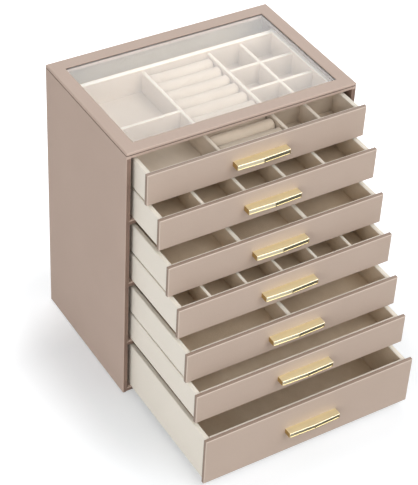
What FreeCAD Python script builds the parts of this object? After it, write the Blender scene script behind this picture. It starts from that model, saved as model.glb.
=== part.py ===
import FreeCAD, Part
import os

from FreeCAD import Vector

# A jewellery box with seven drawers. Leather-wrapped boards make the body, a glass window lies in
# the top, and each cream drawer is lined with velvet and has a gold bar handle.
# Millimetres. The origin is the centre of the underside, on the surface that the box stands on.
# +X is to the right seen from the front, the drawer fronts face -Y, and +Z is up.

# Outside of the body
WIDTH = 280.0
DEPTH = 182.0
HEIGHT = 335.0

# Boards
BOARD = 5.5                 # sides, base, shelves, drawer walls
BACK_BOARD = 3.0
RAIL_BOARD = 3.8            # rails under the window
FRONT_BOARD = 4.5           # drawer front panels
FLOOR_BOARD = 3.0           # drawer floors
FELT = 1.0                  # felt sheet under the base
FELT_INSET = 2.0
HOUSING = 1.5               # depth of the grooves that the shelves and the base are glued into
WRAP_ROUND = 0.8            # rounding of a leather-wrapped edge
CORNER_ROUND = 1.2          # rounding of the outer upright edges
TRIM_BEVEL = 1.0            # soft edge round the top
SEAM_BEVEL = 0.8            # soft edges above and below the seam under the trim
EDGE_BEVEL = 0.8            # soft front edge of a shelf or the base
SAME_PLACE = 1e-6

# Window. The glass lies on tape on the rails, and the lip of the trim holds it down.
TRIM_WIDTH = 16.0           # trim on each side of the window
LIP = 1.0                   # trim above the glass
GLASS = 1.8
GLASS_BEVEL = 0.3
GLASS_HOLD = 3.0            # glass under the lip
GLASS_GAP = 0.5             # round the glass in the rebate of the trim
TAPE = 0.4
TAPE_WIDTH = 2.0
LEDGE = 0.5                 # how far the rails and the tape stand in past the lip
TRIM_BOARD = LIP + GLASS + TAPE

# Drawer fronts, in pairs between shelves, with a deep drawer at the bottom
FRONT_WIDTH = 266.0
FRONT_HEIGHT = 38.0
FRONT_ROUND = 1.2
TOP_GAP = 2.5
PAIR_GAP = 1.0
SHELF_GAP = 8.1             # from a front down to the next one across a shelf
REST_GAP = 0.7              # from a front down to the shelf or base that its drawer slides on
SHORT_DRAWERS = 6
OPENINGS = [30.5, 57.0, 78.0, 101.0, 121.0, 143.5, 166.0]    # how far each drawer stands open

# Drawer boxes
BOX_WIDTH = 259.0
BOX_TOP_DROP = 3.5          # drawer walls end below the top of the front
BOX_BELOW_FRONT = 0.5       # and reach below its lower edge, so that only the box slides
BOX_BACK_CLEARANCE = 0.5
FLOOR_LIFT = 1.0            # floor groove above the lower edge of the walls
FLOOR_HOUSING = 2.0
LINING = 2.0
WALL_BEVEL = 0.9            # soft edge along the top of a wrapped wall

# Compartments. Dividers that run front to back are placed from the middle of the drawer.
INSIDE_WIDTH = BOX_WIDTH - 2 * BOARD
THIRD = INSIDE_WIDTH / 3
FIFTH = INSIDE_WIDTH / 5
NARROW_PITCH = 44.0
DIVIDERS = {
    1: [-THIRD / 2, THIRD / 2, THIRD],
    2: [-1.5 * FIFTH, -0.5 * FIFTH, 0.5 * FIFTH, 1.5 * FIFTH],
    3: [-THIRD / 2, THIRD / 2],
    4: [-2 * NARROW_PITCH, -NARROW_PITCH, 0.0, NARROW_PITCH, 2 * NARROW_PITCH],
    5: [0.0],
}
DIVIDER_BOARD = {1: 4.0, 2: 4.0, 3: 5.0, 4: 3.5, 5: 5.0}
DIVIDER_DROP = 3.5          # dividers end below the drawer walls
DIVIDER_BEVEL = 0.8
CROSS_ROWS = 4              # rows of square compartments in the two right columns of drawer 1

# Ring rolls in drawer 1
ROLLS = 9
ROLL_SLIT = 0.5
ROLL_TOP_DROP = 2.0         # crown below the dividers
ROLL_END_DRAW = 2.0         # how far the covered ends are drawn in
ROLL_END_GAP = 0.4
ROLL_FOOT_TUCK = 0.6        # sides lean in towards the floor

# Runners and guides in the 5 mm beside each drawer box
RUNNER_FRONT_SETBACK = 15.0
RUNNER_SIDE_CLEARANCE = 0.5
RUNNER_CLEARANCE = 0.2      # box above the surface that it slides on
RUNNER_FOOT = 2.8
RUNNER_HEIGHT = 14.0
RUNNER_UNDER_BOX = 5.5      # how far the foot reaches in under the box
RUNNER_BEVEL = 1.0

# Handles
HANDLE_LENGTH = 65.0
HANDLE_DEPTH = 10.5
HANDLE_HEIGHT = 6.2
HANDLE_RIDGE = 1.1          # the front face stands this much further out at its middle
HANDLE_RIDGE_WIDTH = 1.0
HANDLE_BEVEL = 0.4
HANDLE_RIM = 0.9            # left standing round the two sunk panels of the front face
HANDLE_PANEL_DEPTH = 0.35
SCREW_SPACING = 45.0
SCREW_RADIUS = 1.45
TAPPED_RADIUS = 1.5
TAPPED_DEPTH = 7.0
CLEARANCE_RADIUS = 1.7
SCREW_IN_HANDLE = 6.0
SCREW_HEAD_RADIUS = 2.5
SCREW_HEAD_SUNK = 0.2       # flat head below the back of the panel

# Levels and faces worked out from the sizes above
FRONT_FACE = -DEPTH / 2
BACK_FACE = DEPTH / 2
INNER_BACK = BACK_FACE - BACK_BOARD
INNER_SIDE = WIDTH / 2 - BOARD
BODY_TOP = HEIGHT - TRIM_BOARD
RAIL_BOTTOM = BODY_TOP - RAIL_BOARD
GLASS_BOTTOM = BODY_TOP + TAPE
GLASS_TOP = GLASS_BOTTOM + GLASS
BASE_TOP = FELT + BOARD
WALL_FRONT = FRONT_FACE + FRONT_BOARD
BOX_BACK = INNER_BACK - BOX_BACK_CLEARANCE
BOX_SIDE = BOX_WIDTH / 2
INSIDE_SIDE = INSIDE_WIDTH / 2
INSIDE_FRONT = WALL_FRONT + BOARD
INSIDE_BACK = BOX_BACK - BOARD


def front_levels():
    """Lower and upper edge of each drawer front, from the top drawer down."""
    levels = []
    top = RAIL_BOTTOM - TOP_GAP
    for index in range(SHORT_DRAWERS):
        bottom = top - FRONT_HEIGHT
        levels.append((bottom, top))
        top = bottom - (PAIR_GAP if index % 2 == 0 else SHELF_GAP)
    levels.append((BASE_TOP + REST_GAP, top))
    return levels


LEVELS = front_levels()
SHELF_LEVELS = [LEVELS[above][0] - REST_GAP - BOARD for above in (1, 3, 5)]


def save(name, *solids):
    """Write one named piece, which may be several separate solids."""
    shape = solids[0] if len(solids) == 1 else Part.makeCompound(list(solids))
    for solid in shape.Solids:
        if not solid.isValid():
            raise ValueError(name + " has a solid that isn't valid")
    shape.exportStep("parts/" + name + ".step")


def block(x0, x1, y0, y1, z0, z1):
    """A board between two corners."""
    return Part.makeBox(x1 - x0, y1 - y0, z1 - z0, Vector(x0, y0, z0))


def edges_at(shape, **places):
    """Straight edges that lie wholly at the given x, y and z places."""
    found = []
    for edge in shape.Edges:
        ends = [vertex.Point for vertex in edge.Vertexes]
        if len(ends) == 2 and all(
            abs(getattr(point, axis) - place) < SAME_PLACE for point in ends for axis, place in places.items()
        ):
            found.append(edge)
    return found


def selected(shape, selections):
    """The edges that a list of places picks out, each once."""
    edges = []
    for places in selections:
        for edge in edges_at(shape, **places):
            if not any(edge.isSame(other) for other in edges):
                edges.append(edge)
    return edges


def rounded(shape, radius, *selections):
    """Round the edges that the given places pick out."""
    return shape.makeFillet(radius, selected(shape, selections))


def bevelled(shape, width, *selections):
    """Bevel the edges that the given places pick out."""
    return shape.makeChamfer(width, selected(shape, selections))


def mirrored_x(shape):
    """The same piece on the other side of the box."""
    return shape.mirror(Vector(0, 0, 0), Vector(1, 0, 0))


def side_panel():
    """Right-hand side, full depth, with housings for the shelves and the base."""
    outer = WIDTH / 2
    panel = block(INNER_SIDE, outer, FRONT_FACE, BACK_FACE, FELT, BODY_TOP)
    panel = rounded(panel, CORNER_ROUND, dict(x=outer, y=FRONT_FACE), dict(x=outer, y=BACK_FACE))
    top_face = max(panel.Faces, key=lambda face: face.CenterOfMass.z)
    inner_edge = edges_at(panel, x=INNER_SIDE, z=BODY_TOP)[0]
    panel = panel.makeChamfer(SEAM_BEVEL, [edge for edge in top_face.Edges if not edge.isSame(inner_edge)])
    panel = rounded(panel, WRAP_ROUND, dict(x=INNER_SIDE, y=FRONT_FACE))
    reach = INNER_SIDE + HOUSING
    for level in SHELF_LEVELS:
        panel = panel.cut(block(INNER_SIDE, reach, FRONT_FACE, INNER_BACK, level, level + BOARD))
    return panel.cut(block(INNER_SIDE, reach, FRONT_FACE, INNER_BACK, FELT, BASE_TOP))


def back_panel():
    """Thin board between the sides that closes the back."""
    panel = block(-INNER_SIDE, INNER_SIDE, INNER_BACK, BACK_FACE, FELT, BODY_TOP)
    return bevelled(panel, SEAM_BEVEL, dict(y=BACK_FACE, z=BODY_TOP))


def shelf(level):
    """Board housed in both sides, its front edge flush with theirs."""
    reach = INNER_SIDE + HOUSING
    board = block(-reach, reach, FRONT_FACE, INNER_BACK, level, level + BOARD)
    return bevelled(board, EDGE_BEVEL, dict(y=FRONT_FACE, z=level), dict(y=FRONT_FACE, z=level + BOARD))


def window_block(inset, z0, z1):
    """Block of the window's outline, each edge moved inwards by inset."""
    x = WIDTH / 2 - TRIM_WIDTH - inset
    y = DEPTH / 2 - TRIM_WIDTH - inset
    return block(-x, x, -y, y, z0, z1)


def rails_under_window():
    """Four rails between the sides that carry the glass and the trim."""
    side = WIDTH / 2 - TRIM_WIDTH - LEDGE
    back = DEPTH / 2 - TRIM_WIDTH - LEDGE
    front_rail = block(-INNER_SIDE, INNER_SIDE, FRONT_FACE, -back, RAIL_BOTTOM, BODY_TOP)
    front_rail = rounded(front_rail, WRAP_ROUND, dict(y=FRONT_FACE, z=RAIL_BOTTOM))
    front_rail = bevelled(front_rail, SEAM_BEVEL, dict(y=FRONT_FACE, z=BODY_TOP))
    back_rail = block(-INNER_SIDE, INNER_SIDE, back, INNER_BACK, RAIL_BOTTOM, BODY_TOP)
    right_rail = block(side, INNER_SIDE, -back, back, RAIL_BOTTOM, BODY_TOP)
    return [front_rail, back_rail, right_rail, mirrored_x(right_rail)]


def trim_frame():
    """Thin wrapped frame on top of the body, with the window cut through it and a rebate for the glass."""
    outer = WIDTH / 2
    frame = block(-outer, outer, FRONT_FACE, BACK_FACE, BODY_TOP, HEIGHT)
    corners = [dict(x=x, y=y) for x in (-outer, outer) for y in (FRONT_FACE, BACK_FACE)]
    frame = rounded(frame, CORNER_ROUND, *corners)
    top_face = max(frame.Faces, key=lambda face: face.CenterOfMass.z)
    frame = frame.makeChamfer(TRIM_BEVEL, top_face.Edges)
    under_face = min(frame.Faces, key=lambda face: face.CenterOfMass.z)
    frame = frame.makeChamfer(SEAM_BEVEL, under_face.Edges)
    frame = frame.cut(window_block(0.0, BODY_TOP, HEIGHT))
    frame = frame.cut(window_block(-GLASS_HOLD - GLASS_GAP, BODY_TOP, GLASS_TOP))
    side = WIDTH / 2 - TRIM_WIDTH
    back = DEPTH / 2 - TRIM_WIDTH
    return rounded(
        frame, WRAP_ROUND,
        dict(x=-side, z=HEIGHT), dict(x=side, z=HEIGHT), dict(y=-back, z=HEIGHT), dict(y=back, z=HEIGHT),
    )


def glass_pane():
    """Glass that lies on the tape, its edges under the lip of the trim."""
    pane = window_block(-GLASS_HOLD, GLASS_BOTTOM, GLASS_TOP)
    top_face = max(pane.Faces, key=lambda face: face.CenterOfMass.z)
    return pane.makeChamfer(GLASS_BEVEL, top_face.Edges)


def glass_bed_tape():
    """Flat ring of tape between the glass and the rails."""
    ring = window_block(LEDGE - TAPE_WIDTH, BODY_TOP, GLASS_BOTTOM)
    return ring.cut(window_block(LEDGE, BODY_TOP, GLASS_BOTTOM))


def base_felt():
    """Felt sheet under the whole base, which the box stands on."""
    x = WIDTH / 2 - FELT_INSET
    y = DEPTH / 2 - FELT_INSET
    return block(-x, x, -y, y, 0, FELT)


def box_levels(drawer):
    """Lower and upper edge of the walls of a drawer box."""
    bottom, top = LEVELS[drawer - 1]
    return bottom - BOX_BELOW_FRONT, top - BOX_TOP_DROP


def lining_top(drawer):
    """Level of the velvet that the compartments stand on."""
    return box_levels(drawer)[0] + FLOOR_LIFT + FLOOR_BOARD + LINING


def runners(drawer):
    """Pair of strips beside a drawer box. Those of an upper drawer have a foot that carries it."""
    bottom = box_levels(drawer)[0] - RUNNER_CLEARANCE
    inner = BOX_SIDE + RUNNER_SIDE_CLEARANCE
    front = FRONT_FACE + RUNNER_FRONT_SETBACK
    carries = drawer % 2 == 1 and drawer <= SHORT_DRAWERS
    if carries:
        foot_end = BOX_SIDE - RUNNER_UNDER_BOX
        low = bottom - RUNNER_FOOT
        corners = [
            (foot_end, low), (INNER_SIDE, low), (INNER_SIDE, low + RUNNER_HEIGHT),
            (inner, low + RUNNER_HEIGHT), (inner, bottom), (foot_end, bottom),
        ]
    else:
        corners = [
            (inner, bottom), (INNER_SIDE, bottom), (INNER_SIDE, bottom + RUNNER_HEIGHT),
            (inner, bottom + RUNNER_HEIGHT),
        ]
    points = [Vector(x, front, z) for x, z in corners]
    profile = Part.Face(Part.makePolygon(points + points[:1]))
    strip = profile.extrude(Vector(0, INNER_BACK - front, 0))
    top = (bottom - RUNNER_FOOT if carries else bottom) + RUNNER_HEIGHT
    strip = bevelled(strip, RUNNER_BEVEL, dict(x=inner, z=top))
    return [strip, mirrored_x(strip)]


def screw_places(drawer):
    """Centres of the two handle screws, on the middle line of the front."""
    bottom, top = LEVELS[drawer - 1]
    return [(x, (bottom + top) / 2) for x in (-SCREW_SPACING / 2, SCREW_SPACING / 2)]


def hole(radius, x, z, y0, y1):
    """Round hole from y0 to y1."""
    return Part.makeCylinder(radius, y1 - y0, Vector(x, y0, z), Vector(0, 1, 0))


def drawer_box(drawer):
    """Four walls and a floor housed in them."""
    low, high = box_levels(drawer)
    floor_low = low + FLOOR_LIFT
    floor = block(
        -INSIDE_SIDE - FLOOR_HOUSING, INSIDE_SIDE + FLOOR_HOUSING,
        INSIDE_FRONT - FLOOR_HOUSING, INSIDE_BACK + FLOOR_HOUSING, floor_low, floor_low + FLOOR_BOARD,
    )
    side = block(INSIDE_SIDE, BOX_SIDE, WALL_FRONT, BOX_BACK, low, high)
    side = bevelled(side, WALL_BEVEL, dict(x=INSIDE_SIDE, z=high), dict(x=BOX_SIDE, z=high))
    front = block(-INSIDE_SIDE, INSIDE_SIDE, WALL_FRONT, INSIDE_FRONT, low, high)
    front = bevelled(front, WALL_BEVEL, dict(y=INSIDE_FRONT, z=high))
    back = block(-INSIDE_SIDE, INSIDE_SIDE, INSIDE_BACK, BOX_BACK, low, high)
    back = bevelled(back, WALL_BEVEL, dict(y=INSIDE_BACK, z=high), dict(y=BOX_BACK, z=high))
    walls = [wall.cut(floor) for wall in (side, mirrored_x(side), front, back)]
    return walls + [floor]


def floor_lining(drawer):
    """Velvet pad on the drawer floor."""
    top = lining_top(drawer)
    return block(-INSIDE_SIDE, INSIDE_SIDE, INSIDE_FRONT, INSIDE_BACK, top - LINING, top)


def turned(outline, x, z):
    """Solid of revolution about a line along Y. The outline's points are radius and place along Y."""
    points = [Vector(x + radius, y, z) for radius, y in outline]
    profile = Part.Face(Part.makePolygon(points + points[:1]))
    return profile.revolve(Vector(x, 0, z), Vector(0, 1, 0), 360)


def front_panel(drawer):
    """Wrapped panel with soft edges and two countersunk holes for the handle screws."""
    bottom, top = LEVELS[drawer - 1]
    half = FRONT_WIDTH / 2
    panel = block(-half, half, FRONT_FACE, WALL_FRONT, bottom, top)
    front_face = min(panel.Faces, key=lambda face: face.CenterOfMass.y)
    panel = panel.makeFillet(FRONT_ROUND, front_face.Edges)
    mouth = SCREW_HEAD_RADIUS + SCREW_HEAD_SUNK + CLEARANCE_RADIUS - SCREW_RADIUS
    outline = [
        (0.0, FRONT_FACE), (CLEARANCE_RADIUS, FRONT_FACE),
        (CLEARANCE_RADIUS, WALL_FRONT - (mouth - CLEARANCE_RADIUS)), (mouth, WALL_FRONT), (0.0, WALL_FRONT),
    ]
    for x, z in screw_places(drawer):
        panel = panel.cut(turned(outline, x, z))
    return panel


def handle(drawer):
    """Solid bar with two tapped holes. Its front is folded at a ridge, with a panel sunk on each side."""
    bottom, top = LEVELS[drawer - 1]
    half = HANDLE_LENGTH / 2
    ridge = HANDLE_RIDGE_WIDTH / 2
    out = FRONT_FACE - HANDLE_DEPTH
    low = (bottom + top - HANDLE_HEIGHT) / 2
    outline = [
        (-half, FRONT_FACE), (-half, out + HANDLE_RIDGE), (-ridge, out), (ridge, out),
        (half, out + HANDLE_RIDGE), (half, FRONT_FACE),
    ]
    points = [Vector(x, y, low) for x, y in outline]
    bar = Part.Face(Part.makePolygon(points + points[:1])).extrude(Vector(0, 0, HANDLE_HEIGHT))
    ends = out + HANDLE_RIDGE + SAME_PLACE
    edges = [edge for edge in bar.Edges if all(vertex.Y < ends for vertex in edge.Vertexes)]
    upright_ridge = edges_at(bar, x=-ridge) + edges_at(bar, x=ridge)
    edges = [edge for edge in edges if not any(edge.isSame(other) for other in upright_ridge)]
    bar = bar.makeChamfer(HANDLE_BEVEL, edges)
    slope = HANDLE_RIDGE / (half - ridge)
    near = ridge
    far = half - HANDLE_RIM
    clear = out - HANDLE_RIDGE
    floor = out + HANDLE_PANEL_DEPTH
    sunk = [(near, floor), (far, floor + slope * (far - near)), (far, clear), (near, clear)]
    points = [Vector(x, y, low + HANDLE_RIM) for x, y in sunk]
    panel = Part.Face(Part.makePolygon(points + points[:1]))
    panel = panel.extrude(Vector(0, 0, HANDLE_HEIGHT - 2 * HANDLE_RIM))
    bar = bar.cut(panel).cut(mirrored_x(panel))
    for x, z in screw_places(drawer):
        bar = bar.cut(hole(TAPPED_RADIUS, x, z, FRONT_FACE - TAPPED_DEPTH, FRONT_FACE))
    return bar


def handle_screws(drawer):
    """Two flat-headed screws from behind the panel, put in before it is glued to the drawer box."""
    end = WALL_FRONT - SCREW_HEAD_SUNK
    tip = FRONT_FACE - SCREW_IN_HANDLE
    outline = [
        (0.0, tip), (SCREW_RADIUS, tip), (SCREW_RADIUS, end - (SCREW_HEAD_RADIUS - SCREW_RADIUS)),
        (SCREW_HEAD_RADIUS, end), (0.0, end),
    ]
    return [turned(outline, x, z) for x, z in screw_places(drawer)]


def divider_levels(drawer):
    """Lower and upper edge of the dividers of a drawer."""
    return lining_top(drawer), box_levels(drawer)[1] - DIVIDER_DROP


def divider_board(drawer, x0, x1, y0, y1):
    """Velvet-covered board standing on the lining, its upper edges bevelled along its length."""
    low, high = divider_levels(drawer)
    board = block(x0, x1, y0, y1, low, high)
    along_y = y1 - y0 > x1 - x0
    edges = [dict(x=x0, z=high), dict(x=x1, z=high)] if along_y else [dict(y=y0, z=high), dict(y=y1, z=high)]
    return bevelled(board, DIVIDER_BEVEL, *edges)


def long_dividers(drawer):
    """Dividers that run from the front wall to the back wall."""
    half = DIVIDER_BOARD[drawer] / 2
    return [divider_board(drawer, x - half, x + half, INSIDE_FRONT, INSIDE_BACK) for x in DIVIDERS[drawer]]


def cross_rows():
    """Middle lines of the cross dividers in the right columns of drawer 1."""
    pitch = (INSIDE_BACK - INSIDE_FRONT) / CROSS_ROWS
    return [INSIDE_FRONT + pitch * row for row in range(1, CROSS_ROWS)]


def top_drawer_dividers():
    """Three long dividers, one short one on the left and three halved across the right one."""
    half = DIVIDER_BOARD[1] / 2
    low, high = divider_levels(1)
    middle = (low + high) / 2
    left, centre, right = long_dividers(1)
    rows = cross_rows()
    left_x = DIVIDERS[1][0] - half
    short = divider_board(1, -INSIDE_SIDE, left_x, rows[1] - half, rows[1] + half)
    right_x = DIVIDERS[1][2]
    crossing = []
    for y in rows:
        board = divider_board(1, DIVIDERS[1][1] + half, INSIDE_SIDE, y - half, y + half)
        lower_slot = block(right_x - half, right_x + half, y - half, y + half, low, middle)
        upper_slot = block(right_x - half, right_x + half, y - half, y + half, middle, high)
        crossing.append(board.cut(lower_slot))
        right = right.cut(board.common(upper_slot))
    return [left, centre, right, short] + crossing


def ring_roll(y, width, x0, x1, bottom, top):
    """One roll: flat below, upright sides, a round crown, and the cover drawn in at both ends."""
    half = width / 2
    crown = top - half
    heel = half - ROLL_FOOT_TUCK
    low = [Vector(x0, y - half, crown), Vector(x0, y - heel, bottom)]
    low += [Vector(x0, y + heel, bottom), Vector(x0, y + half, crown)]
    sides = [Part.LineSegment(low[i], low[i + 1]).toShape() for i in range(3)]
    over = Part.Arc(low[3], Vector(x0, y, top), low[0]).toShape()
    roll = Part.Face(Part.Wire(sides + [over])).extrude(Vector(x1 - x0, 0, 0))
    ends = [edge for edge in roll.Edges if edge.BoundBox.XLength < SAME_PLACE]
    ends = [edge for edge in ends if edge.BoundBox.ZMax > bottom + SAME_PLACE]
    return roll.makeChamfer(ROLL_END_DRAW, ends)


def ring_rolls():
    """Velvet-covered foam rolls side by side, with a slit for rings between each two."""
    half_board = DIVIDER_BOARD[1] / 2
    start = DIVIDERS[1][0] + half_board + ROLL_END_GAP
    end = DIVIDERS[1][1] - half_board - ROLL_END_GAP
    bottom, divider_top = divider_levels(1)
    pitch = (INSIDE_BACK - INSIDE_FRONT) / ROLLS
    rolls = []
    for index in range(ROLLS):
        y = INSIDE_FRONT + pitch * (index + 0.5)
        rolls.append(ring_roll(y, pitch - ROLL_SLIT, start, end, bottom, divider_top - ROLL_TOP_DROP))
    return rolls


def opened(drawer, solids):
    """The pieces of a drawer, moved out to where it stands open."""
    offset = Vector(0, -OPENINGS[drawer - 1], 0)
    moved = []
    for solid in solids:
        copy = solid.copy()
        copy.translate(offset)
        moved.append(copy)
    return moved


def save_body():
    """The fixed body of the jewellery box."""
    right = side_panel()
    save("right_side_panel", right)
    save("left_side_panel", mirrored_x(right))
    save("back_panel", back_panel())
    save("bottom_panel", shelf(FELT))
    for name, level in zip(("upper", "middle", "lower"), SHELF_LEVELS):
        save("shelf_" + name, shelf(level))
    save("rails_under_window", *rails_under_window())
    save("top_trim_frame", trim_frame())
    save("glass_pane", glass_pane())
    save("glass_bed_tape", glass_bed_tape())
    save("base_felt", base_felt())
    for drawer in range(1, len(LEVELS) + 1):
        save("runners_" + str(drawer), *runners(drawer))


def save_drawers():
    """The seven drawers, each in its own set of named pieces."""
    for drawer in range(1, len(LEVELS) + 1):
        name = "drawer_" + str(drawer) + "_"
        save(name + "box", *opened(drawer, drawer_box(drawer)))
        save(name + "floor_lining", *opened(drawer, [floor_lining(drawer)]))
        save(name + "front", *opened(drawer, [front_panel(drawer)]))
        save(name + "handle", *opened(drawer, [handle(drawer)]))
        save(name + "handle_screws", *opened(drawer, handle_screws(drawer)))
        if drawer in DIVIDERS:
            boards = top_drawer_dividers() if drawer == 1 else long_dividers(drawer)
            save(name + "dividers", *opened(drawer, boards))
    save("drawer_1_ring_rolls", *opened(1, ring_rolls()))


os.makedirs("parts", exist_ok=True)
save_body()
save_drawers()
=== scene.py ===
import math
import random

import bmesh
import bpy
from mathutils import Matrix, Vector


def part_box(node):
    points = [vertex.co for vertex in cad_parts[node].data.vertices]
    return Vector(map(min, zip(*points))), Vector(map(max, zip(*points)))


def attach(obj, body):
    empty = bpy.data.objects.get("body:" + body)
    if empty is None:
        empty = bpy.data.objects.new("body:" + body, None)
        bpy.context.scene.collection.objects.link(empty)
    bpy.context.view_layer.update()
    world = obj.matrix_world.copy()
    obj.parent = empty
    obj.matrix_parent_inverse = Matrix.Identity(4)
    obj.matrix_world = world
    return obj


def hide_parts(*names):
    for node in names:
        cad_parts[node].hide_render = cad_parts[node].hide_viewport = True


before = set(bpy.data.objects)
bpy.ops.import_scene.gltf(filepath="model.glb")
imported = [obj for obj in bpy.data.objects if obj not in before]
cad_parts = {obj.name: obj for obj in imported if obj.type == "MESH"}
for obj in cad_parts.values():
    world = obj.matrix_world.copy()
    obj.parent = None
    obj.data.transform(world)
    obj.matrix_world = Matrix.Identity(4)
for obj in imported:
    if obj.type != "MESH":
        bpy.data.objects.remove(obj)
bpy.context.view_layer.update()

MM = 0.001

# The view of the photograph: turn, height and tilt of the camera about the middle of the box's underside.
PHOTO_HEIGHT = 485
TURN = -0.57486
HEIGHT_ANGLE = 0.68951
TILT = 0.05803
FOCAL_PIXELS = 1602.78
AIM_ACROSS = 23.4957 * MM
AIM_UP = 77.4135 * MM
DISTANCE = 1927.40 * MM
SENSOR = 36.0

DRAWERS = range(1, 8)

# Grain of the leather, and pile of the velvet: threads and leaning patches to a metre
PEBBLE = 0.8 * MM
GRAIN_DEPTH = 0.06 * MM
PILE_DEPTH = 0.12 * MM
PILE_THREADS = 3800.0
PILE_PATCHES = 55.0
LEATHER_ROUGHNESS = 0.5
VELVET_ROUGHNESS = 0.95

# Ring rolls: rings of points along one, points round one, the curves of its outline, its gathered ends as
# shares of its size, and how the filling of the covers is worked out
ROLL_RINGS = 52
ROLL_OUTLINE_POINTS = 36
ROLL_FOOT_CURVE = 0.42
ROLL_SIDE_CURVE = 0.8
ROLL_TOP_CURVE = 0.92
GATHER_FROM = 0.93
GATHER_DEPTH = 0.42
GATHER_CURVE = 1.6
GATHER_FOLDS = 9
FOLD_DEPTH = 0.02
GLUED_HEIGHT = 0.06
SLACK = (1.0, 0.96, 0.97)
CLOTH_SCALE = 20.0
CLOTH_STEPS = 24

# Floor linings, in millimetres: how far they stand up and are pressed in along boards, over what distance
# from the boards, where the rows of points beside a board lie, and how far apart the other rows are
PAD_CROWN = 0.3
PAD_CROWN_REACH = 5.0
PAD_PRESSED_IN = 0.2
PAD_PRESSED_REACH = 0.6
PAD_ROWS_BESIDE_BOARDS = (0, 0.5, 1.1, 2.2, 4.0)
PAD_STEP = 7.0

# Felt under the base: spacing of its points, how ragged its edge is and how uneven its underside
FELT_STEP = 4 * MM
FELT_RAGGED = 0.25 * MM
FELT_UNEVEN = 0.08 * MM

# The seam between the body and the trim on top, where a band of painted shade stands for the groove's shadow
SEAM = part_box("top_trim_frame")[0].z
SEAM_HALF = 0.65 * MM
SEAM_SOFT = 0.2 * MM
UNDER_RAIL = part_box("rails_under_window")[0].z

# The light: how bright the white surround is for the object, and each lamp's place, aim, width and power.
SURROUND_LEVEL = 0.32
LAMPS = [
    ("front_lamp", (1.50, -3.04, 3.54), (0, 0, 0.15), 4.2, 134.0),
    ("left_lamp", (-3.91, -2.26, 1.79), (0, 0, 0.15), 3.2, 95.0),
    ("back_lamp", (1.96, 3.04, 3.24), (0, 0, 0.15), 3.4, 42.0),
]

# What polished metal sees below the table's level: bright on the left of this angle, dark on its right.
GLOSS_TURN = math.radians(33.5)
GLOSS_BRIGHT = 0.66
GLOSS_DARK = 0.15

# The floor: its colour for the light and for the camera, its own glow beside the box as the camera sees it,
# and what is added to that glow further off, far off, behind the box and in front of it. The footprint is the
# box's with its drawers open, at any height.
FLOOR_HALF = 6.0
FLOOR_FOR_LIGHT = (0.75, 0.75, 0.75, 1.0)
FLOOR_FOR_THE_CAMERA = (0.679, 0.7, 0.721, 1.0)
# The glow is weakest beside the box and grows away from it: painted shade round the box, fading to white
GLOW_BESIDE = 0.29
GLOW_FURTHER_OFF = 0.3
GLOW_FAR_OFF = 0.4
GLOW_BEHIND = 0.28
GLOW_IN_FRONT = 0.08
FOOTPRINT_MIDDLE = (0.0, -0.08, 0.0)
FOOTPRINT_HALF = (0.14, 0.17, 9.0)


def shade_of(red, green, blue):
    """A screen colour from 0 to 255 as the linear colour that a shader takes."""
    def linear(level):
        level /= 255
        return level / 12.92 if level <= 0.04045 else ((level + 0.055) / 1.055) ** 2.4
    return (linear(red), linear(green), linear(blue), 1.0)


class Signal:
    """A number that varies over a surface. Sums and products of signals add their own Math nodes."""

    def __init__(self, finish, socket):
        self.finish = finish
        self.socket = socket

    def worked(self, operation, *values):
        return self.finish.add("ShaderNodeMath", {"operation": operation}, dict(enumerate(values)))

    def __add__(self, other):
        return self.worked("ADD", self, other)

    __radd__ = __add__

    def __mul__(self, other):
        return self.worked("MULTIPLY", self, other)

    __rmul__ = __mul__

    def __sub__(self, other):
        return self.worked("SUBTRACT", self, other)

    def __rsub__(self, other):
        return self.worked("SUBTRACT", other, self)

    def over(self, level, softness):
        """0 where the signal is under level and 1 where it is over it, with a soft step between."""
        return self.finish.add("ShaderNodeMapRange", {"interpolation_type": "SMOOTHSTEP"},
                               {"Value": self, "From Min": level - softness, "From Max": level + softness})

    def under(self, level, softness):
        return 1.0 - self.over(level, softness)


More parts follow.
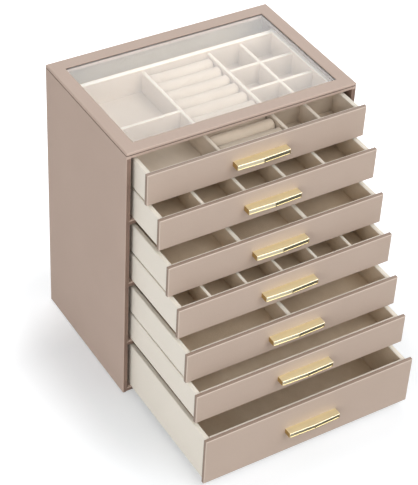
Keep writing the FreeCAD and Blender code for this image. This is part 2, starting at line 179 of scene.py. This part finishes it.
class Finish:
    """One finish of the box, or the surround: what it belongs to and the nodes that make it."""

    def __init__(self, owner):
        self.owner = owner
        owner.use_nodes = True
        self.tree = owner.node_tree
        self.tree.nodes.clear()

    def add(self, kind, settings=None, values=None, output=0):
        node = self.tree.nodes.new(kind)
        for name, setting in (settings or {}).items():
            setattr(node, name, setting)
        for name, value in (values or {}).items():
            socket = node.inputs[name]
            if isinstance(value, Signal):
                self.tree.links.new(value.socket, socket)
            else:
                socket.default_value = value
        return Signal(self, node.outputs[output])

    def place(self):
        """The place on the piece, in metres in the box's own frame."""
        return self.add("ShaderNodeTexCoord", output="Object")

    def parts(self, vector):
        split = self.add("ShaderNodeSeparateXYZ", values={"Vector": vector})
        outputs = split.socket.node.outputs
        return [Signal(self, outputs[axis]) for axis in "XYZ"]

    def facing(self):
        """The three parts of the surface's own direction."""
        return self.parts(self.add("ShaderNodeNewGeometry", output="Normal"))

    def vector(self, operation, *values, output=0):
        return self.add("ShaderNodeVectorMath", {"operation": operation}, dict(enumerate(values)), output)

    def stretched(self, vector, amounts):
        return self.vector("MULTIPLY", vector, amounts)

    def noise(self, vector, scale, detail=2.0, roughness=0.5):
        return self.add("ShaderNodeTexNoise", values={"Vector": vector, "Scale": scale, "Detail": detail,
                                                      "Roughness": roughness})

    def cells(self, vector, scale, feature="F1"):
        return self.add("ShaderNodeTexVoronoi", {"feature": feature}, {"Vector": vector, "Scale": scale},
                        output="Distance")

    def greater(self, first, second):
        return first.worked("MAXIMUM", first, second)

    def mixed(self, share, first, second):
        """A colour between two colours."""
        return self.add("ShaderNodeMix", {"data_type": "RGBA"}, {0: share, 6: first, 7: second}, output=2)

    def ray(self, kind):
        """1 for light rays of one kind, 0 for the rest."""
        return self.add("ShaderNodeLightPath", output="Is %s Ray" % kind)

    def bump(self, height, depth):
        return self.add("ShaderNodeBump", values={"Height": height, "Distance": depth})

    def surface(self, **values):
        named = {name.replace("_", " "): value for name, value in values.items()}
        return self.add("ShaderNodeBsdfPrincipled", values=named)

    def done(self, shader):
        kind = "World" if isinstance(self.owner, bpy.types.World) else "Material"
        output = self.tree.nodes.new("ShaderNodeOutput" + kind)
        self.tree.links.new(shader.socket, output.inputs["Surface"])
        return self.owner


def finish_named(name):
    return Finish(bpy.data.materials.new(name))


def leather_grain(finish):
    """The height of small pebbles with fine creases between them, and the creases alone."""
    place = finish.place()
    pebbles = finish.cells(place, 1 / PEBBLE, "SMOOTH_F1")
    creases = finish.noise(place, 2.2 / PEBBLE, 3.0, 0.6)
    return pebbles * -0.75 - creases * 0.5, creases


def leather_tone(finish, grain):
    """How far a wrap is towards its deeper shade: faint clouds, and darker between the pebbles."""
    clouds = finish.noise(finish.place(), 14.0, 2.0)
    return (clouds - 0.5) * 0.5 - grain * 0.35


def velvet_pile(finish):
    """The height of a short pile that leans in soft patches, and how far it is towards its deeper shade."""
    place = finish.place()
    pile = finish.noise(place, PILE_THREADS, 2.0, 0.7)
    lean = finish.noise(finish.stretched(place, (1.0, 0.7, 1.0)), PILE_PATCHES, 3.0, 0.55)
    return pile + lean * 2.0, (lean - 0.5) * 1.2 + (pile - 0.5) * 0.8 + 0.4


def leather(finish, grain, creases, colour):
    """The wrap's surface in one colour: satin, and a little duller in its creases."""
    return finish.done(finish.surface(Base_Color=colour, Roughness=LEATHER_ROUGHNESS + (creases - 0.5) * 0.16,
                                      Specular_IOR_Level=0.42, Normal=finish.bump(grain, GRAIN_DEPTH)))


def leather_over_body(name, colours, edge_colours, inside_painted_shade, seam_painted_shade):
    """The wrap of the body, with painted shade: darker on inner faces and on front edges, and darkest in a
    band at the seam under the trim.
    """
    finish = finish_named(name)
    grain, creases = leather_grain(finish)
    tone = leather_tone(finish, grain)
    across, along, up = finish.parts(finish.place())
    seam = up.over(SEAM - SEAM_HALF, SEAM_SOFT) * up.under(SEAM + SEAM_HALF, SEAM_SOFT)
    sideways, forward, upward = finish.facing()
    outward = across.worked("SIGN", across, 0.0) * sideways
    # painted shade on the inner faces below the trim
    inside = outward.under(-0.6, 0.1) * up.under(SEAM, SEAM_SOFT)
    # painted shade on the front edges below the rails
    edge = forward.under(-0.85, 0.1) * up.under(UNDER_RAIL, SEAM_SOFT)
    colour = finish.mixed(edge, finish.mixed(tone, *colours), finish.mixed(tone, *edge_colours))
    colour = finish.mixed(inside, colour, finish.mixed(tone, *inside_painted_shade))
    return leather(finish, grain, creases, finish.mixed(seam, colour, seam_painted_shade))


def leather_over_board(name, colours, edge_colours, arris_highlight_colour):
    """The wrap of a drawer front: a painted highlight along the rounded arris, and darker on the edges,
    partly a darker edge colour and partly painted shade.
    """
    finish = finish_named(name)
    grain, creases = leather_grain(finish)
    tone = leather_tone(finish, grain)
    across, along, up = finish.facing()
    # edges that don't face the front: partly a darker edge colour, partly painted shade
    edge = along.over(-0.4, 0.2)
    # painted highlight on the rounded arris
    arris = along.over(-0.93, 0.05) * along.under(-0.5, 0.15)
    colour = finish.mixed(edge, finish.mixed(tone, *colours), finish.mixed(tone, *edge_colours))
    return leather(finish, grain, creases, finish.mixed(arris, colour, arris_highlight_colour))


def velvet_colour(finish, tone, colours, top_painted_light_colours):
    """The velvet's colour, paler on the tops of boards: painted light on the upward faces."""
    across, along, up = finish.facing()
    return finish.mixed(up.over(0.5, 0.2), finish.mixed(tone, *colours), finish.mixed(tone, *top_painted_light_colours))


def velvet(name, colours, top_painted_light_colours):
    """Short-pile velvet: a fuzzy surface whose pile leans in soft patches."""
    finish = finish_named(name)
    height, tone = velvet_pile(finish)
    colour = velvet_colour(finish, tone, colours, top_painted_light_colours)
    return finish.done(finish.surface(Base_Color=colour, Roughness=VELVET_ROUGHNESS, Specular_IOR_Level=0.15,
                                      Sheen_Weight=0.2, Sheen_Roughness=0.45,
                                      Normal=finish.bump(height, PILE_DEPTH)))


def wrap_and_velvet(name, wrapped, wrap_colours, velvet_colours, top_painted_light_colours):
    """A board covered with leather where wrapped gives 1 and with velvet where it gives 0."""
    finish = finish_named(name)
    share = wrapped(finish)
    grain, creases = leather_grain(finish)
    pile, nap = velvet_pile(finish)
    colour = finish.mixed(share, velvet_colour(finish, nap, velvet_colours, top_painted_light_colours),
                          finish.mixed(leather_tone(finish, grain), *wrap_colours))
    roughness = VELVET_ROUGHNESS - share * (VELVET_ROUGHNESS - LEATHER_ROUGHNESS)
    height = share * grain * GRAIN_DEPTH + (1.0 - share) * pile * PILE_DEPTH
    return finish.done(finish.surface(Base_Color=colour, Roughness=roughness, Specular_IOR_Level=0.25,
                                      Normal=finish.bump(height, 1.0)))


def outer_face_of_back(finish):
    """1 on the back panel's outer side and edges, 0 on its lined inner face."""
    across, along, up = finish.facing()
    return along.over(-0.5, 0.1)


def outside_of_a_drawer_box(finish):
    """1 on the outer sides, back and underside of a drawer's box, from its place in the box's own bounds."""
    across, along, up = finish.parts(finish.add("ShaderNodeTexCoord", output="Generated"))
    sides = across.under(0.001, 0.0005) + across.over(0.999, 0.0005)
    rest = along.over(0.998, 0.0005) + up.under(0.02, 0.005)
    return finish.greater(sides, rest)


def brushed_gold(name):
    """Gold plate: drawn out along the bar on top and underneath, polished on the two facets of its front, and
    darker on its ends, which is painted shade.
    """
    finish = finish_named(name)
    place = finish.place()
    scratches = finish.noise(finish.stretched(place, (90.0, 5200.0, 5200.0)), 1.0, 3.0, 0.6)
    wide = finish.noise(finish.stretched(place, (12.0, 900.0, 900.0)), 1.0, 2.0, 0.5)
    across, along, up = finish.facing()
    brushed = along.over(-0.9, 0.05)
    drawn = scratches * 0.7 + wide * 0.3
    colour = finish.mixed(along.over(-0.3, 0.1), POLISHED_GOLD, finish.mixed(drawn, *GOLD))
    colour = finish.mixed((across * across).over(0.6, 0.2), colour, GOLD_ENDS_PAINTED_SHADE)
    roughness = 0.08 + brushed * (0.3 + drawn * 0.2)
    return finish.done(finish.surface(Base_Color=colour, Metallic=1.0, Roughness=roughness,
                                      Normal=finish.bump(drawn * brushed, 0.02 * MM)))


def clear_pane(name):
    """Clear float glass that lets the lamps' light through to the top drawer."""
    finish = finish_named(name)
    pane = finish.surface(Base_Color=(1.0, 0.99, 0.98, 1.0), Roughness=0.0, IOR=1.5, Transmission_Weight=1.0)
    open_air = finish.add("ShaderNodeBsdfTransparent", values={"Color": (0.98, 0.975, 0.97, 1.0)})
    lighting = finish.greater(finish.ray("Shadow"), finish.ray("Diffuse"))
    return finish.done(finish.add("ShaderNodeMixShader", values={0: lighting, 1: pane, 2: open_air}))


def moulded(name, colours, roughness):
    """A matt moulded strip or tape: a faint orange-peel skin."""
    finish = finish_named(name)
    place = finish.place()
    skin = finish.noise(place, 900.0, 2.0)
    rubbed = finish.noise(finish.stretched(place, (1.0, 0.15, 1.0)), 260.0, 2.0)
    colour = finish.mixed(rubbed.over(0.6, 0.15), *colours)
    return finish.done(finish.surface(Base_Color=colour, Roughness=roughness + (skin - 0.5) * 0.2,
                                      Normal=finish.bump(skin, 0.02 * MM)))


def zinc_plate(name, colours):
    """Zinc-plated steel with a fine spangle."""
    finish = finish_named(name)
    spangle = finish.cells(finish.place(), 900.0)
    return finish.done(finish.surface(Base_Color=finish.mixed(spangle, *colours), Metallic=1.0,
                                      Roughness=0.25 + spangle * 0.2))


def felt_cloth(name, colours):
    """Pressed felt: matted fibres in soft tufts."""
    finish = finish_named(name)
    place = finish.place()
    fibres = finish.noise(place, 1400.0, 4.0, 0.75)
    tufts = finish.noise(place, 180.0, 3.0, 0.6)
    colour = finish.mixed(fibres * 0.6 + tufts * 0.4, *colours)
    return finish.done(finish.surface(Base_Color=colour, Roughness=1.0, Specular_IOR_Level=0.1,
                                      Sheen_Weight=0.2, Normal=finish.bump(fibres + tufts, 0.2 * MM)))


def put(node, material):
    """Gives a CAD node's object one finish."""
    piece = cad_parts[node]
    piece.data.materials.clear()
    piece.data.materials.append(material)


TAUPE = shade_of(198, 176, 162), shade_of(182, 159, 145)
FRONT_TAUPE = shade_of(194, 175, 161), shade_of(179, 159, 144)
# Darker tops and ends of the fronts: partly a darker edge colour, partly painted shade
FRONT_EDGE_COLOUR_AND_SHADE = shade_of(160, 140, 126), shade_of(146, 126, 112)
# Painted highlight along the rounded arris of the fronts
FRONT_ARRIS_HIGHLIGHT = shade_of(210, 193, 180)
CREAM = shade_of(247, 240, 228), shade_of(236, 228, 214)
# The top drawer's velvet and the other drawers' are one velvet in two copies: paler and cooler under the
# glass, warmer as painted shade in the lower drawers
PALE_IVORY = shade_of(217, 203, 186), shade_of(198, 183, 164)
# Painted light: paler tops of the top drawer's velvet boards
PALE_TOPS_PAINTED_LIGHT = shade_of(238, 228, 213), shade_of(224, 212, 196)
IVORY = shade_of(227, 208, 183), shade_of(205, 183, 155)
# Painted light: paler tops of the other drawers' velvet boards
IVORY_TOPS_PAINTED_LIGHT = shade_of(251, 245, 233), shade_of(241, 232, 217)
LINING = shade_of(198, 185, 163), shade_of(180, 167, 143)
GOLD = shade_of(245, 236, 201), shade_of(230, 217, 174)
POLISHED_GOLD = shade_of(246, 235, 204)
# Painted shade: the darker end faces of the handles
GOLD_ENDS_PAINTED_SHADE = shade_of(196, 168, 108)
# Painted shade: the dark band at the seam under the trim
PAINTED_SEAM_SHADE = shade_of(110, 90, 78)
# Painted shade: the front edges of the body, darker than the lit faces
BODY_EDGE_PAINTED_SHADE = shade_of(138, 114, 101), shade_of(124, 101, 88)
# Painted shade: the body's inner faces, darker for the little light that reaches them
PAINTED_SHADE_INSIDE = shade_of(122, 98, 84), shade_of(106, 84, 71)

taupe_leather = leather_over_body("taupe_leather", TAUPE, BODY_EDGE_PAINTED_SHADE, PAINTED_SHADE_INSIDE, PAINTED_SEAM_SHADE)
front_leather = leather_over_board("taupe_leather_of_the_fronts", FRONT_TAUPE, FRONT_EDGE_COLOUR_AND_SHADE, FRONT_ARRIS_HIGHLIGHT)
lined_back = wrap_and_velvet("leather_with_lining", outer_face_of_back, TAUPE, LINING, LINING)
pale_velvet = velvet("pale_ivory_velvet", PALE_IVORY, PALE_IVORY)
pale_board = velvet("pale_velvet_on_dividers", PALE_IVORY, PALE_TOPS_PAINTED_LIGHT)
pale_box = wrap_and_velvet("cream_wrap_and_pale_velvet", outside_of_a_drawer_box, CREAM, PALE_IVORY,
                           IVORY_TOPS_PAINTED_LIGHT)
warm_velvet = velvet("ivory_velvet", IVORY, IVORY)
warm_board = velvet("velvet_on_dividers", IVORY, IVORY_TOPS_PAINTED_LIGHT)
warm_box = wrap_and_velvet("cream_wrap_and_velvet", outside_of_a_drawer_box, CREAM, IVORY, IVORY_TOPS_PAINTED_LIGHT)
gold = brushed_gold("brushed_gold")
glass = clear_pane("clear_glass")
strip_plastic = moulded("dark_strip_plastic", (shade_of(62, 48, 42), shade_of(84, 68, 60)), 0.55)
tape = moulded("dark_bedding_tape", (shade_of(70, 52, 42), shade_of(84, 64, 52)), 0.8)
steel = zinc_plate("zinc_plate", (shade_of(190, 192, 194), shade_of(150, 152, 156)))
dark_felt = felt_cloth("dark_felt", (shade_of(74, 66, 62), shade_of(104, 94, 88)))

BODY_FINISHES = {"back_panel": lined_back, "glass_bed_tape": tape, "glass_pane": glass}
# One velvet, painted paler for the top drawer under the glass and warmer for the shaded lower drawers
TOP_DRAWER = {"box": pale_box, "dividers": pale_board, "ring_rolls": pale_velvet, "floor_lining": pale_velvet}
OTHER_DRAWERS = {"box": warm_box, "dividers": warm_board, "floor_lining": warm_velvet, "front": front_leather,
                 "handle": gold, "handle_screws": steel}
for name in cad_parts:
    if name.startswith("drawer_"):
        part = name.split("_", 2)[2]
        top = name.startswith("drawer_1_") and part in TOP_DRAWER
        put(name, TOP_DRAWER[part] if top else OTHER_DRAWERS[part])
    elif name.startswith("runners_"):
        put(name, strip_plastic)
    else:
        put(name, BODY_FINISHES.get(name, taupe_leather))


def boards_of(node):
    """The lowest and highest corner of each separate board or roll in a CAD node."""
    mesh = bmesh.new()
    mesh.from_mesh(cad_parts[node].data)
    bmesh.ops.remove_doubles(mesh, verts=mesh.verts, dist=0.001 * MM)
    left = set(mesh.verts)
    boxes = []
    while left:
        group = [left.pop()]
        corners = []
        while group:
            vertex = group.pop()
            corners.append(vertex.co.copy())
            for edge in vertex.link_edges:
                other = edge.other_vert(vertex)
                if other in left:
                    left.remove(other)
                    group.append(other)
        low = Vector([min(c[i] for c in corners) for i in range(3)])
        high = Vector([max(c[i] for c in corners) for i in range(3)])
        boxes.append((low, high))
    mesh.free()
    return sorted(boxes, key=lambda box: (round(box[0].x, 5), round(box[0].y, 5)))


def piece_from(name, points, faces, material, body):
    """A piece of the box made from points and faces, with one finish, that moves with a body."""
    mesh = bpy.data.meshes.new(name)
    mesh.from_pydata([tuple(p) for p in points], [], faces)
    mesh.materials.append(material)
    mesh.validate()
    checked = bmesh.new()
    checked.from_mesh(mesh)
    bmesh.ops.recalc_face_normals(checked, faces=checked.faces)
    checked.to_mesh(mesh)
    checked.free()
    for face in mesh.polygons:
        face.use_smooth = True
    piece = bpy.data.objects.new(name, mesh)
    bpy.context.scene.collection.objects.link(piece)
    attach(piece, body)
    return piece


def roll_section(half_width, height):
    """The outline of a ring roll seen from its end: a flat foot, plump sides and a round top."""
    outline = []
    middle = height - half_width
    for number in range(ROLL_OUTLINE_POINTS):
        angle = 2 * math.pi * number / ROLL_OUTLINE_POINTS - math.pi / 2
        sideways = math.cos(angle)
        upward = math.sin(angle)
        if upward > 0:
            up = middle + half_width * upward ** ROLL_TOP_CURVE
        else:
            up = middle - middle * abs(upward) ** ROLL_FOOT_CURVE
        curve = ROLL_FOOT_CURVE if upward < 0 else ROLL_SIDE_CURVE
        outline.append((half_width * math.copysign(abs(sideways) ** curve, sideways), up))
    return outline


def roll_cover(size, draw):
    """The cover of a ring roll before it is filled: a slack tube, gathered at its ends and glued at its foot.

    Gives its points, its faces, and which points are held.
    """
    length, width, height = size
    outline = roll_section(width / 2, height)
    count = len(outline)
    middle = height / 2
    folds = draw.uniform(0, 2 * math.pi)
    points = []
    held = []
    for ring in range(ROLL_RINGS + 1):
        place = -math.cos(math.pi * ring / ROLL_RINGS)
        place = math.copysign(abs(place) ** 0.75, place)
        end = max(0.0, (abs(place) - GATHER_FROM) / (1 - GATHER_FROM))
        for number, (across, up) in enumerate(outline):
            turn = 2 * math.pi * number / count
            plump = 1 - GATHER_DEPTH * end ** GATHER_CURVE
            plump += FOLD_DEPTH * end * math.sin(GATHER_FOLDS * turn + folds)
            rise = plump if up > middle else 1 - (1 - plump) * 0.5
            points.append(Vector((place * length / 2, across * plump, middle + (up - middle) * rise)))
            if ring in (0, ROLL_RINGS) or up < GLUED_HEIGHT * height:
                held.append(len(points) - 1)
    faces = [(r * count + p, r * count + (p + 1) % count,
              (r + 1) * count + (p + 1) % count, (r + 1) * count + p)
             for r in range(ROLL_RINGS) for p in range(count)]
    for ring in (0, ROLL_RINGS):
        rim = points[ring * count:(ring + 1) * count]
        points.append(sum(rim, Vector()) / count)
        held.append(len(points) - 1)
        faces += [(ring * count + p, ring * count + (p + 1) % count, len(points) - 1) for p in range(count)]
    return points, faces, held


def filled_out(points, faces, held):
    """The cover after its foam has filled it: cloth under pressure, at a size that suits the solver."""
    mesh = bpy.data.meshes.new("roll_cover")
    mesh.from_pydata([point * CLOTH_SCALE for point in points], [], faces)
    turned = bmesh.new()
    turned.from_mesh(mesh)
    bmesh.ops.recalc_face_normals(turned, faces=turned.faces)
    turned.to_mesh(mesh)
    turned.free()
    cover = bpy.data.objects.new("roll_cover", mesh)
    bpy.context.scene.collection.objects.link(cover)
    cover.vertex_groups.new(name="held").add(held, 1.0, "REPLACE")
    cloth = cover.modifiers.new("filling", "CLOTH")
    stuff = cloth.settings
    stuff.quality = 8
    stuff.mass = 0.1
    stuff.tension_stiffness = 20
    stuff.compression_stiffness = 20
    stuff.shear_stiffness = 10
    stuff.bending_stiffness = 1.5
    stuff.use_pressure = True
    stuff.uniform_pressure_force = 6.0
    stuff.effector_weights.gravity = 0
    stuff.vertex_group_mass = "held"
    stuff.shrink_min = -0.05
    cloth.point_cache.frame_end = CLOTH_STEPS + 5
    for step in range(1, CLOTH_STEPS + 1):
        bpy.context.scene.frame_set(step)
    result = bpy.data.meshes.new_from_object(cover.evaluated_get(bpy.context.evaluated_depsgraph_get()))
    filled = [vertex.co / CLOTH_SCALE for vertex in result.vertices]
    bpy.data.objects.remove(cover)
    bpy.data.meshes.remove(result)
    bpy.context.scene.frame_set(1)
    return filled


def ring_rolls():
    """Firm foam rolls under velvet. Three covers are filled out, and each serves for three rolls."""
    boxes = boards_of("drawer_1_ring_rolls")
    size = boxes[0][1] - boxes[0][0]
    slack = Vector([size[axis] * SLACK[axis] for axis in range(3)])
    forms = []
    for number in range(3):
        points, faces, held = roll_cover(slack, random.Random(100 + number))
        points = filled_out(points, faces, held)
        forms.append((points, faces))
    for number, (low, high) in enumerate(boxes):
        points, faces = forms[number % 3]
        first = Vector([min(point[axis] for point in points) for axis in range(3)])
        last = Vector([max(point[axis] for point in points) for axis in range(3)])
        placed = []
        for point in points:
            share = [(point[axis] - first[axis]) / (last[axis] - first[axis]) for axis in range(3)]
            if number // 3 % 2 == 1:
                share = [1 - share[0], 1 - share[1], share[2]]
            placed.append([low[axis] + share[axis] * (high[axis] - low[axis]) for axis in range(3)])
        roll = piece_from("ring_roll_%d" % (number + 1), placed, faces, pale_velvet, "drawer_1")
        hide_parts("drawer_1_ring_rolls")


def lines_between(start, end, marks, step):
    """Places from start to end, close together near the marks and further apart between them."""
    places = {round(start, 6), round(end, 6)}
    for mark in marks:
        for offset in PAD_ROWS_BESIDE_BOARDS:
            for place in (mark - offset * MM, mark + offset * MM):
                if start < place < end:
                    places.add(round(place, 6))
    ordered = sorted(places)
    filled = []
    for first, second in zip(ordered, ordered[1:]):
        parts = max(1, math.ceil((second - first) / step))
        filled += [first + (second - first) * k / parts for k in range(parts)]
    return filled + [end]


def layer_of(wide, deep, start=0):
    """The faces of a layer of points in rows, whose first point has the number start."""
    return [(start + r * wide + c, start + r * wide + c + 1, start + (r + 1) * wide + c + 1,
             start + (r + 1) * wide + c) for r in range(deep - 1) for c in range(wide - 1)]


def rim_of(wide, deep):
    """The numbers of the points round a layer's edge, in turn."""
    right = [r * wide + wide - 1 for r in range(1, deep)]
    back = [(deep - 1) * wide + c for c in range(wide - 2, -1, -1)]
    left = [r * wide for r in range(deep - 2, 0, -1)]
    return list(range(wide)) + right + back + left


def padded_lining(drawer, draw):
    """The velvet pad on a drawer's floor, full in each compartment and pressed in along the boards."""
    node = "drawer_%d_floor_lining" % drawer
    low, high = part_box(node)
    boards = boards_of("drawer_%d_dividers" % drawer) if drawer <= 5 else []
    marks_x = [low.x, high.x] + [x for b in boards for x in (b[0].x, b[1].x)]
    marks_y = [low.y, high.y] + [y for b in boards for y in (b[0].y, b[1].y)]
    xs = lines_between(low.x, high.x, marks_x, PAD_STEP * MM)
    ys = lines_between(low.y, high.y, marks_y, PAD_STEP * MM)
    swell = [draw.uniform(0, 2 * math.pi) for _ in range(4)]

    def top(x, y):
        nearest = min(x - low.x, high.x - x, y - low.y, high.y - y)
        for first, second in boards:
            gap_x = max(first.x - x, x - second.x, 0)
            gap_y = max(first.y - y, y - second.y, 0)
            nearest = min(nearest, math.hypot(gap_x, gap_y))
        nearest = max(nearest, 0) / MM
        ripple = 0.05 * math.sin(90 * x + swell[0]) * math.sin(70 * y + swell[1])
        ripple += 0.03 * math.sin(210 * x + 150 * y + swell[2])
        pressed = PAD_PRESSED_IN * math.exp(-nearest / PAD_PRESSED_REACH)
        crown = (PAD_CROWN + ripple) * (1 - math.exp(-nearest / PAD_CROWN_REACH))
        return high.z + (crown - pressed) * MM

    points = [(x, y, top(x, y)) for y in ys for x in xs]
    wide = len(xs)
    deep = len(ys)
    faces = layer_of(wide, deep)
    rim = rim_of(wide, deep)
    start = len(points)
    points += [(points[i][0], points[i][1], low.z) for i in rim]
    turns = len(rim)
    faces += [(rim[i], start + i, start + (i + 1) % turns, rim[(i + 1) % turns]) for i in range(turns)]
    faces.append(tuple(start + i for i in range(turns)))
    material = pale_velvet if drawer == 1 else warm_velvet
    lining = piece_from("drawer_%d_velvet_pad" % drawer, points, faces, material, "drawer_%d" % drawer)
    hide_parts(node)


def felt_sheet():
    """The felt under the base: a thin sheet whose cut edge is a little ragged."""
    low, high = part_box("base_felt")
    draw = random.Random(5)
    wide = round((high.x - low.x) / FELT_STEP) + 1
    deep = round((high.y - low.y) / FELT_STEP) + 1
    points = []
    for level in (high.z, low.z):
        for r in range(deep):
            for c in range(wide):
                x = low.x + (high.x - low.x) * c / (wide - 1)
                y = low.y + (high.y - low.y) * r / (deep - 1)
                at_side = c in (0, wide - 1)
                at_end = r in (0, deep - 1)
                if at_side:
                    x += math.copysign(draw.uniform(-FELT_RAGGED, 0), x)
                if at_end:
                    y += math.copysign(draw.uniform(-FELT_RAGGED, 0), y)
                inner = level == low.z and not at_side and not at_end
                points.append((x, y, level + (draw.uniform(0, FELT_UNEVEN) if inner else 0)))
    layer = wide * deep
    faces = layer_of(wide, deep) + layer_of(wide, deep, layer)
    rim = rim_of(wide, deep)
    faces += [(rim[i], rim[(i + 1) % len(rim)], layer + rim[(i + 1) % len(rim)], layer + rim[i])
              for i in range(len(rim))]
    felt = piece_from("felt_under_base", points, faces, dark_felt, "cabinet")
    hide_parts("base_felt")


ring_rolls()
for drawer in DRAWERS:
    padded_lining(drawer, random.Random(200 + drawer))
felt_sheet()


def pale_floor():
    """A wide floor that glows to the camera, least beside the box and more further off, behind and in front:
    painted shade round the box that fades to white. Metal sees the surround through it.
    """
    corners = [(x * FLOOR_HALF, y * FLOOR_HALF, 0) for x, y in ((-1, -1), (1, -1), (1, 1), (-1, 1))]
    mesh = bpy.data.meshes.new("floor")
    mesh.from_pydata(corners, [], [(0, 1, 2, 3)])
    floor = bpy.data.objects.new("floor", mesh)
    bpy.context.scene.collection.objects.link(floor)
    floor.visible_glossy = False
    finish = finish_named("pale_floor")
    seen = finish.greater(finish.ray("Camera"), finish.ray("Transmission"))
    colour = finish.mixed(seen, FLOOR_FOR_LIGHT, FLOOR_FOR_THE_CAMERA)
    offset = finish.vector("SUBTRACT", finish.place(), FOOTPRINT_MIDDLE)
    beyond = finish.vector("SUBTRACT", finish.vector("ABSOLUTE", offset), FOOTPRINT_HALF)
    away = finish.vector("LENGTH", finish.vector("MAXIMUM", beyond, (0.0, 0.0, 0.0)), output="Value")
    across, along, up = finish.parts(finish.place())
    glow = GLOW_BESIDE + away.over(0.075, 0.05) * GLOW_FURTHER_OFF + away.over(1.0, 0.4) * GLOW_FAR_OFF
    glow = glow + along.over(0.05, 0.05) * GLOW_BEHIND + along.under(-0.19, 0.05) * GLOW_IN_FRONT
    mesh.materials.append(finish.done(finish.surface(
        Base_Color=colour, Roughness=1.0, Specular_IOR_Level=0.0,
        Emission_Color=finish.mixed(seen * glow, (0, 0, 0, 1), (1, 1, 1, 1)), Emission_Strength=1.0)))


def white_surround():
    """White to the camera, glass and metal, dimmer for lighting, and darker to metal at the lower right."""
    world = bpy.data.worlds.new("white_surround")
    bpy.context.scene.world = world
    surround = Finish(world)
    across, along, up = surround.parts(surround.add("ShaderNodeTexCoord", output="Generated"))
    glossy = surround.ray("Glossy")
    clear = surround.greater(surround.ray("Camera"), surround.ray("Transmission"))
    right = across * math.cos(GLOSS_TURN) + along * math.sin(GLOSS_TURN)
    below = up.under(-0.1, 0.1)
    lower = GLOSS_BRIGHT + right.over(0.0, 0.01) * (GLOSS_DARK - GLOSS_BRIGHT)
    shine = 1.0 + below * (lower - 1.0)
    level = SURROUND_LEVEL + clear * (1.0 - SURROUND_LEVEL) + glossy * (shine - SURROUND_LEVEL)
    surround.done(surround.add("ShaderNodeBackground", values={"Color": (1, 1, 1, 1), "Strength": level}))


def lamps():
    """Three large round lamps, each turned to the box."""
    for name, place, aim, size, power in LAMPS:
        data = bpy.data.lights.new(name, "AREA")
        data.shape = "DISK"
        data.size = size
        data.energy = power
        light = bpy.data.objects.new(name, data)
        light.location = place
        light.rotation_mode = "QUATERNION"
        light.rotation_quaternion = (Vector(aim) - Vector(place)).to_track_quat("-Z", "Y")
        bpy.context.scene.collection.objects.link(light)


def photo_camera():
    """The camera of the photograph, aimed off the box's middle as far as the photograph's framing is."""
    back = Vector((math.sin(TURN) * math.cos(HEIGHT_ANGLE), -math.cos(TURN) * math.cos(HEIGHT_ANGLE),
                   math.sin(HEIGHT_ANGLE)))
    right = (-back).cross(Vector((0, 0, 1))).normalized()
    up = right.cross(-back)
    tilted_right = math.cos(TILT) * right + math.sin(TILT) * up
    tilted_up = -math.sin(TILT) * right + math.cos(TILT) * up
    data = bpy.data.cameras.new("photo_camera")
    data.sensor_fit = "AUTO"
    data.sensor_width = SENSOR
    data.lens = FOCAL_PIXELS / PHOTO_HEIGHT * SENSOR
    data.clip_start = 0.05
    data.clip_end = 40.0
    camera = bpy.data.objects.new("photo_camera", data)
    axes = Matrix((tilted_right, tilted_up, back)).transposed()
    camera.rotation_mode = "QUATERNION"
    camera.rotation_quaternion = axes.to_quaternion()
    camera.location = back * DISTANCE + tilted_right * AIM_ACROSS + tilted_up * AIM_UP
    bpy.context.scene.collection.objects.link(camera)
    bpy.context.scene.camera = camera


photo_camera()
pale_floor()
white_surround()
lamps()
bpy.context.scene.view_settings.view_transform = "Standard"
